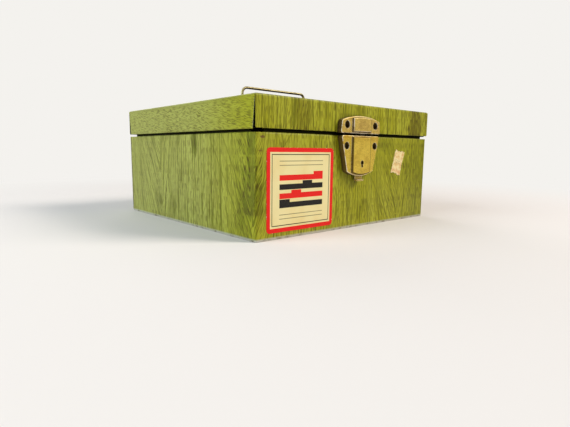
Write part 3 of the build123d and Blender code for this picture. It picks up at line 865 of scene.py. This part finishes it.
@dataclass(frozen=True)
class CardPrint(Finish):
    """Printed paper label: a framed cream card with a row of tabbed folders and writing rules."""

    name: str
    low: Flat
    high: Flat
    frame_width: float = 3.2
    keyline_inset: float = 4.6
    keyline: float = 0.6
    folder_count: int = 4
    folder_width: float = 44.0
    folder_step: float = 6.6
    folder_height: float = 4.0
    tab_width: float = 10.0
    tab_height: float = 2.4
    tab_lap: float = 0.2
    rule_width: float = 0.5
    rule_inset: float = 9.6
    rule_step: float = 3.0
    print_soft: float = 0.06
    grain_size: Point = (0.35, 1.0, 0.35)
    cloud_size: Point = (16.0, 1.0, 16.0)
    chafe_size: Point = (2.6, 1.0, 2.6)
    cream: Colour = ink(232, 219, 162)
    aged: Colour = ink(224, 197, 122)
    red: Colour = ink(226, 24, 16)
    black: Colour = ink(22, 20, 18)
    fibre: Colour = ink(238, 228, 200)

    def inset(self, spot: Spot, middle: Flat, size: Flat) -> Value:
        """How far a place lies inside a rectangle with a middle and a size, in millimetres."""
        from_side = size[0] / 2 - abs(spot.x - middle[0])
        return from_side.least(size[1] / 2 - abs(spot.z - middle[1]))

    def block(self, spot: Spot, middle: Flat, size: Flat) -> Value:
        """A printed rectangle: 1 inside and 0 outside, with a slightly soft rim."""
        return self.inset(spot, middle, size).step(-self.print_soft, self.print_soft)

    def folders(self, spot: Spot, middle: Flat) -> list[tuple[Value, Colour]]:
        """Prints the row of folders, each with its tab further to the right than the one below.

        Args:
            spot: Place on the label.
            middle: Centre of the row.

        Returns:
            One coat of colour for each folder.
        """
        foot = middle[1] - self.folder_step * self.folder_count / 2
        reach = self.folder_width - self.tab_width
        coats = []
        for place in range(self.folder_count):
            height = foot + self.folder_step * (place + 0.35)
            tab_x = middle[0] + reach * (place / (self.folder_count - 1) - 0.5)
            tab_z = height + (self.folder_height + self.tab_height) / 2 - self.tab_lap
            sheet = self.block(spot, (middle[0], height), (self.folder_width, self.folder_height))
            tab = self.block(spot, (tab_x, tab_z), (self.tab_width, self.tab_height))
            coats.append((sheet.most(tab), self.red if place % 2 else self.black))
        return coats

    def paint(self, graph: Graph) -> None:
        """Prints a red frame, a black keyline, folders and rules on aged card with a chafed rim.

        Args:
            graph: Empty graph of the material.
        """
        spot = graph.spot()
        middle = ((self.low[0] + self.high[0]) / 2, (self.low[1] + self.high[1]) / 2)
        size = (self.high[0] - self.low[0], self.high[1] - self.low[1])
        grain = spot.noise(self.grain_size, detail=2.0)
        cloud = spot.noise(self.cloud_size, detail=3.0)
        chafe = spot.noise(self.chafe_size, detail=3.0)
        insets = (self.frame_width, self.keyline_inset, self.keyline_inset + self.keyline)
        card, outer, inner = (
            self.block(spot, middle, (size[0] - 2 * inset, size[1] - 2 * inset)) for inset in insets)
        bare = (chafe - self.inset(spot, middle, size) * 0.35).step(0.56, 0.66)
        heights = (middle[1] + side * (size[1] / 2 - self.rule_inset - self.rule_step * row)
                   for side in (-1, 1) for row in (0, 1))
        rules = (self.block(spot, (middle[0], height), (self.folder_width, self.rule_width))
                 for height in heights)
        colour = graph.coats(
            self.cream, (cloud.step(0.4, 0.75) * 0.4, self.aged), (1 - card, self.red),
            (outer * (1 - inner), self.black), *self.folders(spot, middle),
            *((rule * 0.7, self.black) for rule in rules), (bare * 0.85, self.fibre),
            (grain.step(0.6, 0.8) * 0.12, self.fibre))
        graph.surface({
            "Base Color": colour,
            "Roughness": 0.45 + 0.2 * cloud + 0.2 * bare,
            "Specular IOR Level": 0.25,
            "Normal": graph.bump(grain * 0.012 - bare * 0.03),
        })


@dataclass(frozen=True)
class OldSticker(Finish):
    """Blank sticker paper, yellowed, with faded smudges.

    Noises are the clouds, fibres, crumples and rubs: features across and up the sheet, seed and detail.
    """

    name: str
    noises: tuple[tuple[float, float, float, float], ...] = (
        (4.0, 6.0, 3.0, 4.0), (70.0, 100.0, 5.0, 2.0), (5.0, 8.0, 9.0, 2.0), (13.0, 24.0, 11.0, 2.0))
    paper: Colour = ink(231, 212, 158)
    age: Colour = ink(214, 174, 108)
    smudge: Colour = ink(132, 116, 92)
    blush: Colour = ink(206, 138, 92)
    fibre: Colour = ink(240, 228, 190)

    def paint(self, graph: Graph) -> None:
        """Clouds the paper with age, with a grey smudge in its middle and a pink stain near its foot.

        Args:
            graph: Empty graph of the material.
        """
        sheet = graph.node("SeparateXYZ", {}, {0: graph.out(graph.node("UVMap", {}, {}))})
        across, up = graph.out(sheet, 0), graph.out(sheet, 1)
        cloud, fibre, crumple, rub = (
            graph.noise(across * wide, up * high, seed, detail) for wide, high, seed, detail in self.noises)
        band = abs(up - 0.52).step(0.16, 0.05) * abs(across - 0.5).step(0.4, 0.25) * rub.step(0.5, 0.62)
        foot = abs(up - 0.12).step(0.1, 0.04) * rub.step(0.4, 0.6)
        colour = graph.coats(
            self.paper, (cloud.step(0.4, 0.7), self.age), (band * 0.6, self.smudge),
            (foot * 0.65, self.blush), (fibre.step(0.55, 0.75) * 0.2, self.fibre))
        graph.surface({
            "Base Color": colour,
            "Roughness": 0.62 + 0.2 * cloud,
            "Specular IOR Level": 0.3,
            "Normal": graph.bump(crumple * 0.12 + fibre * 0.02),
        })


def surface_object(name: str, points: np.ndarray, closed: bool = False) -> bpy.types.Object:
    """Makes a mesh object from a grid of points.

    Args:
        name: Name of the object.
        points: Array of rows by columns by 3, in millimetres in the part's frame.
        closed: Whether the last column joins the first.

    Returns:
        The object, at the origin, with one quad for each cell of the grid and a UV map that runs
        from 0 to 1 along both sides of the grid.
    """
    rows, columns = points.shape[:2]
    index = np.arange(rows * columns).reshape(rows, columns)
    following = np.roll(index, -1, axis=1) if closed else index[:, 1:]
    here = index if closed else index[:, :-1]
    quads = np.stack((here[:-1], following[:-1], following[1:], here[1:]), axis=-1).reshape(-1, 4)
    mesh = bpy.data.meshes.new(name)
    mesh.from_pydata((points.reshape(-1, 3) * MM).tolist(), [], quads.tolist())
    across, up = np.meshgrid(np.linspace(0, 1, columns), np.linspace(0, 1, rows))
    place = np.stack((across, up), axis=-1).reshape(-1, 2)
    corners = np.zeros(len(mesh.loops), dtype=np.int32)
    mesh.loops.foreach_get("vertex_index", corners)
    mesh.uv_layers.new(name="sheet").data.foreach_set("uv", place[corners].astype(np.float32).ravel())
    mesh.polygons.foreach_set("use_smooth", np.ones(len(mesh.polygons), dtype=bool))
    piece = bpy.data.objects.new(name, mesh)
    bpy.context.scene.collection.objects.link(piece)
    return piece


def dress(finish: Finish, *nodes: str) -> None:
    """Puts one finish on every slot of some frame nodes.

    Args:
        finish: The finish that they get.
        nodes: Names of the nodes.
    """
    material = finish.material()
    for node in nodes:
        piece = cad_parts[node]
        if not piece.material_slots:
            piece.data.materials.append(material)
        for slot in piece.material_slots:
            slot.material = material
        log.info("%s wears %s", node, material.name)


class Assembly(ABC):
    """One sub-assembly of the box."""

    @abstractmethod
    def build(self) -> None:
        """Makes and dresses the sub-assembly's pieces."""


@dataclass
class Walls(Assembly):
    """The printed wall strip and the floor pan under it."""

    seed: float = 3.0
    # Height of the lip, whose outside is painted near black as shade in the gap under the lid
    lip_rise: float = 6.0
    # Pale steel band along the walls' foot, partly bare steel and partly a painted highlight
    foot_wear_and_highlight: float = 0.5
    figures: tuple[Figure, ...] = (
        Figure(-248.0, -25.0, 0.5, 0.15, 64.0, 36.0),
        Figure(62.0, -10.0, 0.5, 0.06, 50.0, 30.0),
        Figure(-109.0, 5.0, 0.45, 0.4, 44.0, 24.0),
    )
    vees: tuple[Vee, ...] = (
        Vee(-247.6, 12.9, 0.5, 0.16, 1.3, 0.7), Vee(-249.7, 44.7, 0.55, 0.1, 1.4, 0.7),
        Vee(-247.0, -14.0, 0.5, 0.2, 1.2, 0.55), Vee(-246.5, -40.0, 0.45, 0.2, 1.2, 0.4),
        Vee(46.0, 5.0, 0.69, 0.1, 1.0, 0.45), Vee(58.0, 2.0, 0.6, 0.1, 1.0, 0.35),
        Vee(-112.0, 20.0, 0.62, 0.7, 1.1, 0.55), Vee(-115.2, -1.0, 0.65, 0.5, 1.1, 0.5),
    )
    patches: tuple[Patch, ...] = (
        Patch(-112.5, 38.0, 19.0, 33.0, 0.9), Patch(-117.0, 42.0, 24.0, 75.0, 0.4, 0.1),
        Patch(-121.0, 16.0, 11.0, 16.0, 0.5), Patch(-110.0, 70.0, 9.0, 17.0, 0.85),
        Patch(-187.5, 76.0, 5.0, 22.0, 1.0, 0.5), Patch(-185.6, 70.0, 2.4, 15.0, 1.0, 0.7),
        # Patch(94.0, ...) in part and Patch(106.0, ...) wholly are painted shade: the print darkens towards
        # the right end, where the light falls off
        Patch(41.0, 70.0, 14.0, 11.0, 0.45), Patch(94.0, 40.0, 16.0, 75.0, 0.3),
        Patch(106.0, 40.0, 62.0, 150.0, 0.35, 0.1),
    )
    lines: tuple[Line, ...] = (
        Line(-215.4, 1.3, 0.5), Line(-208.8, 0.9, 0.35), Line(-200.8, 1.1, 0.4), Line(-190.0, 0.9, 0.3),
        Line(-161.2, 1.1, 0.45), Line(-149.0, 1.2, 0.65), Line(-134.0, 1.0, 0.35),
        Line(82.4, 1.0, 0.4), Line(92.8, 1.3, 0.45), Line(101.7, 1.0, 0.4),
    )
    chips: tuple[Patch, ...] = (
        Patch(-99.2, 73.0, 2.6, 1.2, 0.85, 0.6), Patch(-100.7, 63.6, 1.9, 0.8, 0.6, 0.6),
    )

    def build(self) -> None:
        """Dresses the walls, with the print laid out from their own box, and the pan."""
        low, high = node_corners("body_wrap")
        walls = WoodPrint("printed_wall_strip", Blank.WALL_STRIP, low, high, self.seed, self.patches,
                          self.lines, self.figures, self.vees, self.chips,
                          lip_foot=high[2] - self.lip_rise, foot_wear_and_highlight=self.foot_wear_and_highlight)
        dress(walls, "body_wrap")
        dress(PanLacquer("pan_lacquer", *node_corners("bottom_pan")), "bottom_pan")


@dataclass
class Lid(Assembly):
    """The printed lid, folded from one blank."""

    seed: float = 61.0
    ripple: float = 3.4
    patches: tuple[Patch, ...] = (
        Patch(-61.0, -118.0, 10.0, 24.0, 0.5), Patch(84.5, -128.0, 12.5, 34.0, 0.95, 0.65),
        # Patch(110.0, ...) is painted shade: the lid's print darkens towards its right end, where the light
        # falls off
        Patch(110.0, -122.0, 62.0, 30.0, 0.25, 0.1), Patch(24.0, 30.0, 16.0, 70.0, 0.5),
    )
    lines: tuple[Line, ...] = (
        Line(-94.3, 1.0, 0.6), Line(-86.3, 0.9, 0.45), Line(-70.6, 1.8, 0.75), Line(-56.1, 1.0, 0.45),
        Line(-38.5, 0.9, 0.4), Line(-27.1, 1.3, 0.7), Line(-16.5, 1.0, 0.45), Line(-8.2, 0.9, 0.4),
        Line(40.9, 1.0, 0.75), Line(53.5, 1.0, 0.85), Line(66.5, 0.8, 0.4),
    )
    shade: Colour = ink(103, 96, 8)

    def build(self) -> None:
        """Dresses the lid, with the print laid out from its own box."""
        lid = WoodPrint("printed_lid_blank", Blank.LID_BLANK, *node_corners("lid_shell"), self.seed,
                        self.patches, self.lines, ripple=self.ripple, shade=self.shade)
        dress(lid, "lid_shell")


@dataclass
class Latch(Assembly):
    """The stampings of the latch and the works inside them."""

    panel_rise: float = 1.6

    def build(self) -> None:
        """Dresses the stampings, the inner works, the rivets, the hook, the thumb lever and its spring."""
        low, high = node_corners("lock_case")
        wing_face = low[1] + self.panel_rise
        dress(AgedBrass("case_brass", wing_face=wing_face, head=high[2]), "lock_case")
        dress(AgedBrass("catch_brass", ink(224, 196, 100), ink(192, 162, 83), pitting=0.55,
                        tarnish_and_shade_step=(0.08, 0.32), wing_face=wing_face, brow_shine=0.8), "catch_plate")
        # The works' steel is darker than old steel alone: partly painted shade seen through the keyhole
        dress(MillSteel("works_steel", ink(72, 67, 58), ink(44, 34, 22), staining=0.35, roughness=0.4,
                        roll=(1.0, 1.0, 12.0), edge_shine=0.1),
              "lock_base_plate", "lever_pivot", "key_post", "key_tumbler")
        # Near-black rivet heads: dark steel, and painted shade at the bottom of the wells
        dress(MillSteel("rivet_steel", ink(54, 50, 45), ink(30, 24, 18), staining=0.7, roughness=0.42,
                        roll=(1.0, 1.0, 1.0), edge_shine=0.2), "lock_rivets", "catch_rivets")
        dress(MillSteel("hook_steel", ink(92, 86, 74), ink(50, 40, 28), staining=0.6, roughness=0.4,
                        roll=(1.0, 1.0, 9.0), edge_shine=0.2), "catch_hook")
        dress(AgedBrass("lever_brass", ink(204, 176, 88), ink(170, 140, 66), tarnish_and_shade_step=(0.3, 0.7)),
              "release_lever")
        dress(MillSteel("spring_steel", ink(88, 92, 104), ink(70, 54, 40), staining=0.3, roughness=0.28,
                        roll=(0.6, 4.0, 8.0)), "lever_spring")


@dataclass
class Bail(Assembly):
    """The wire handle and the clips that hold it."""

    bar_depth: float = 2.6

    def build(self) -> None:
        """Dresses the wire and its clips."""
        # Below this depth the bar's underside gets painted shade
        bar_foot = node_corners("handle_bail")[1][2] - self.bar_depth
        dress(AgedBrass("handle_brass", ink(198, 186, 140), ink(158, 144, 100), pitting=0.3, metal=0.7,
                        roughness=0.3, bar_foot=bar_foot), "handle_bail")
        dress(AgedBrass("clip_brass", pitting=0.5), "handle_clip_left", "handle_clip_right")


class Hinge(Assembly):
    """The hinge along the back."""

    def build(self) -> None:
        """Dresses both leaves and the pin."""
        dress(MillSteel("hinge_steel", ink(186, 182, 168), ink(122, 98, 62), staining=0.4, roughness=0.32,
                        roll=(30.0, 1.2, 1.2)), "hinge_leaf_body", "hinge_leaf_lid")
        dress(MillSteel("pin_steel", ink(166, 164, 156), ink(92, 72, 48), staining=0.4, roughness=0.3,
                        roll=(20.0, 1.0, 1.0)), "hinge_pin")


@dataclass
class Papers(Assembly):
    """The label and the old sticker on the front wall."""

    sticker_corners: tuple[Flat, ...] = ((49.4, 45.4), (63.0, 42.2), (69.3, 63.0), (55.6, 65.2))
    sticker_lift: float = 0.05
    sticker_paper: float = 0.12
    sticker_curl: float = 0.35
    ragged: float = 0.45
    side_waves: tuple[Point, ...] = ((1.0, 9.0, 0.6), (0.6, 23.0, 0.0), (0.4, 57.0, 1.0))
    end_waves: tuple[Point, ...] = ((1.0, 7.0, 2.0), (0.7, 19.0, 0.0), (0.4, 47.0, 0.0))
    columns: int = 49
    rows: int = 73

    def label(self) -> None:
        """Prints the label's card, laid out from the label node's own box."""
        low, high = node_corners("front_label")
        dress(CardPrint("label_paper", low[::2], high[::2]), "front_label")

    def sticker(self) -> None:
        """Makes the sticker, a grid between four corners on the wall.

        Its sides are drawn in and out by sums of sines, as torn paper is, and its corners curl away from the
        wall with the fourth power of the distance from the middle.
        """
        across, up = np.meshgrid(np.linspace(0, 1, self.columns), np.linspace(0, 1, self.rows))
        foot_left, foot_right, head_right, head_left = (np.array(corner) for corner in self.sticker_corners)
        torn_side, torn_end = (
            sum(share * np.sin(rate * place + shift) for share, rate, shift in waves)
            for place, waves in ((up, self.side_waves), (across, self.end_waves)))
        u, v = across[..., None], up[..., None]
        flat = (foot_left * (1 - u) + foot_right * u) * (1 - v) + (head_left * (1 - u) + head_right * u) * v
        right = (foot_right - foot_left) / np.linalg.norm(foot_right - foot_left)
        upright = (head_left - foot_left) / np.linalg.norm(head_left - foot_left)
        flat = flat + (self.ragged * torn_side * (2 * across - 1) ** 3)[..., None] * right * 0.5
        flat = flat + (self.ragged * torn_end * (2 * up - 1) ** 3)[..., None] * upright
        corner = np.abs(2 * across - 1) ** 4 * np.abs(2 * up - 1) ** 4
        wall = node_corners("body_wrap")[0][1]
        depth = wall - self.sticker_lift - self.sticker_curl * corner * (0.4 + 0.6 * up)
        piece = surface_object("old_sticker", np.stack((flat[..., 0], depth, flat[..., 1]), axis=-1))
        sheet = piece.modifiers.new("paper", "SOLIDIFY")
        sheet.thickness = self.sticker_paper * MM
        sheet.offset = 1.0
        piece.data.materials.append(OldSticker("sticker_paper").material())
        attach(piece, "body")
        log.info("%s rides on the body", piece.name)

    def build(self) -> None:
        """Makes both papers."""
        self.label()
        self.sticker()


@dataclass(frozen=True)
class Lamp:
    """A square soft lamp: its place and its side in millimetres, its colour and its power in watts."""

    name: str
    place: Point
    colour: Colour
    watts: float
    size: float

    def hang(self, aim: Point) -> None:
        """Hangs the lamp.

        Args:
            aim: The point that it looks at, in millimetres.
        """
        light = bpy.data.lights.new(self.name, "AREA")
        light.color = self.colour
        light.energy = self.watts
        light.size = self.size * MM
        lamp = bpy.data.objects.new(self.name, light)
        lamp.location = Vector(self.place) * MM
        lamp.rotation_euler = (Vector(aim) - Vector(self.place)).to_track_quat("-Z", "Y").to_euler()
        bpy.context.scene.collection.objects.link(lamp)


@dataclass
class Studio(Assembly):
    """Floor, light and camera."""

    floor_radius: float = 4000.0
    floor_hole: float = 1.0
    floor_rings: int = 24
    floor_spokes: int = 96
    floor_fade: Flat = (260.0, 640.0)
    floor_colour: Colour = ink(230, 223, 221)
    wall_colour: Colour = ink(244, 242, 238)
    room_colour: Colour = ink(138, 135, 126)
    wall_turn: Flat = (0.7, 0.95)
    sky_colour: Colour = (0.97, 1.0, 1.03)
    sky_strength: float = 0.18
    lamps: tuple[Lamp, ...] = (
        Lamp("key_lamp", (1240.0, -1520.0, 1600.0), (1.0, 0.95, 0.86), watts=56.0, size=950.0),
        Lamp("side_lamp", (-1500.0, 200.0, 860.0), (0.84, 1.0, 1.06), watts=22.3, size=1100.0),
        Lamp("back_lamp", (500.0, 1900.0, 1300.0), (1.0, 0.98, 0.94), watts=18.0, size=1600.0),
    )
    aim: Point = (0.0, 0.0, 45.0)
    eye: Point = (-284.8, -341.6, 64.05)
    yaw: float = 41.27
    pitch: float = 8.29
    roll: float = -0.59
    focal_pixels: float = 434.8
    image_width: int = 570
    clip: Flat = (0.01, 20.0)

    def backdrop(self, graph: Graph, backward: Value) -> tuple[Value, Value]:
        """Works out what is seen far away, round the box.

        Args:
            graph: Graph of the world or of the floor.
            backward: How far the way there points to the back of the box, from -1 to 1.

        Returns:
            1 for rays of the camera, of a gloss and of glass, else 0; and what they see: the pale wall behind
            the box, or for a gloss the dimmer room in front of it.
        """
        path = graph.node("LightPath", {}, {})
        camera = graph.out(path, "Is Camera Ray")
        mirrored = graph.out(path, "Is Glossy Ray").most(graph.out(path, "Is Transmission Ray"))
        behind = backward.step(*self.wall_turn)
        return camera.most(mirrored), graph.coats(self.room_colour, (behind.most(camera), self.wall_colour))

    def floor(self) -> None:
        """Makes the floor: a disc, whose radius and turn are its two parameters."""
        rings = np.linspace(0.0, 1.0, self.floor_rings) ** 2 * self.floor_radius + self.floor_hole
        spokes = np.linspace(0.0, 2 * np.pi, self.floor_spokes, endpoint=False)
        radius, turn = np.meshgrid(rings, spokes, indexing="ij")
        points = np.stack((radius * np.cos(turn), radius * np.sin(turn), np.zeros_like(turn)), axis=-1)
        disc = surface_object("pale_floor", points, closed=True)
        made = bpy.data.materials.new("pale_floor")
        graph = Graph(made)
        spot = graph.spot()
        away = (spot.x * spot.x + spot.y * spot.y) ** 0.5
        near = graph.out(graph.node("BsdfDiffuse", {}, {"Color": self.floor_colour}))
        shown, backdrop = self.backdrop(graph, spot.y / away)
        far = graph.out(graph.node("Emission", {}, {"Color": backdrop}))
        blend = graph.node("MixShader", {}, {0: away.step(*self.floor_fade) * shown, 1: near, 2: far})
        graph.node("OutputMaterial", {}, {"Surface": graph.out(blend)})
        disc.data.materials.append(made)

    def sky(self) -> None:
        """Sets soft light all round, which the camera and a gloss see as the backdrop."""
        world = bpy.data.worlds.new("soft_room")
        bpy.context.scene.world = world
        graph = Graph(world)
        way = graph.node("SeparateXYZ", {}, {0: graph.out(graph.node("TexCoord", {}, {}), "Generated")})
        shown, backdrop = self.backdrop(graph, graph.out(way, 1))
        light = graph.node("Background", {}, {"Color": self.sky_colour, "Strength": self.sky_strength})
        wall = graph.node("Background", {}, {"Color": backdrop, "Strength": 1.0})
        blend = graph.node("MixShader", {}, {0: shown, 1: graph.out(light), 2: graph.out(wall)})
        graph.node("OutputWorld", {}, {"Surface": graph.out(blend)})

    def camera(self) -> None:
        """Places the camera from its eye point, its yaw from +Y, its pitch below level and its roll."""
        turns = ((-self.yaw, "Z"), (90 - self.pitch, "X"), (-self.roll, "Z"))
        yaw, pitch, roll = (Matrix.Rotation(math.radians(angle), 4, axis) for angle, axis in turns)
        lens = bpy.data.cameras.new("camera")
        lens.lens = lens.sensor_width * self.focal_pixels / self.image_width
        lens.clip_start, lens.clip_end = self.clip
        view = bpy.data.objects.new("camera", lens)
        view.matrix_world = Matrix.Translation(Vector(self.eye) * MM) @ yaw @ pitch @ roll
        bpy.context.scene.collection.objects.link(view)
        bpy.context.scene.camera = view

    def build(self) -> None:
        """Sets up the whole studio."""
        bpy.context.scene.view_settings.view_transform = "Standard"
        self.floor()
        self.sky()
        for lamp in self.lamps:
            lamp.hang(self.aim)
        self.camera()


def main() -> None:
    """Builds the studio and the box's sub-assemblies in order."""
    logging.basicConfig(level=logging.INFO, format="%(message)s")
    for part in (Studio(), Walls(), Lid(), Latch(), Bail(), Hinge(), Papers()):
        part.build()
        log.info("%s done", type(part).__name__)


if __name__ == "__main__":
    main()
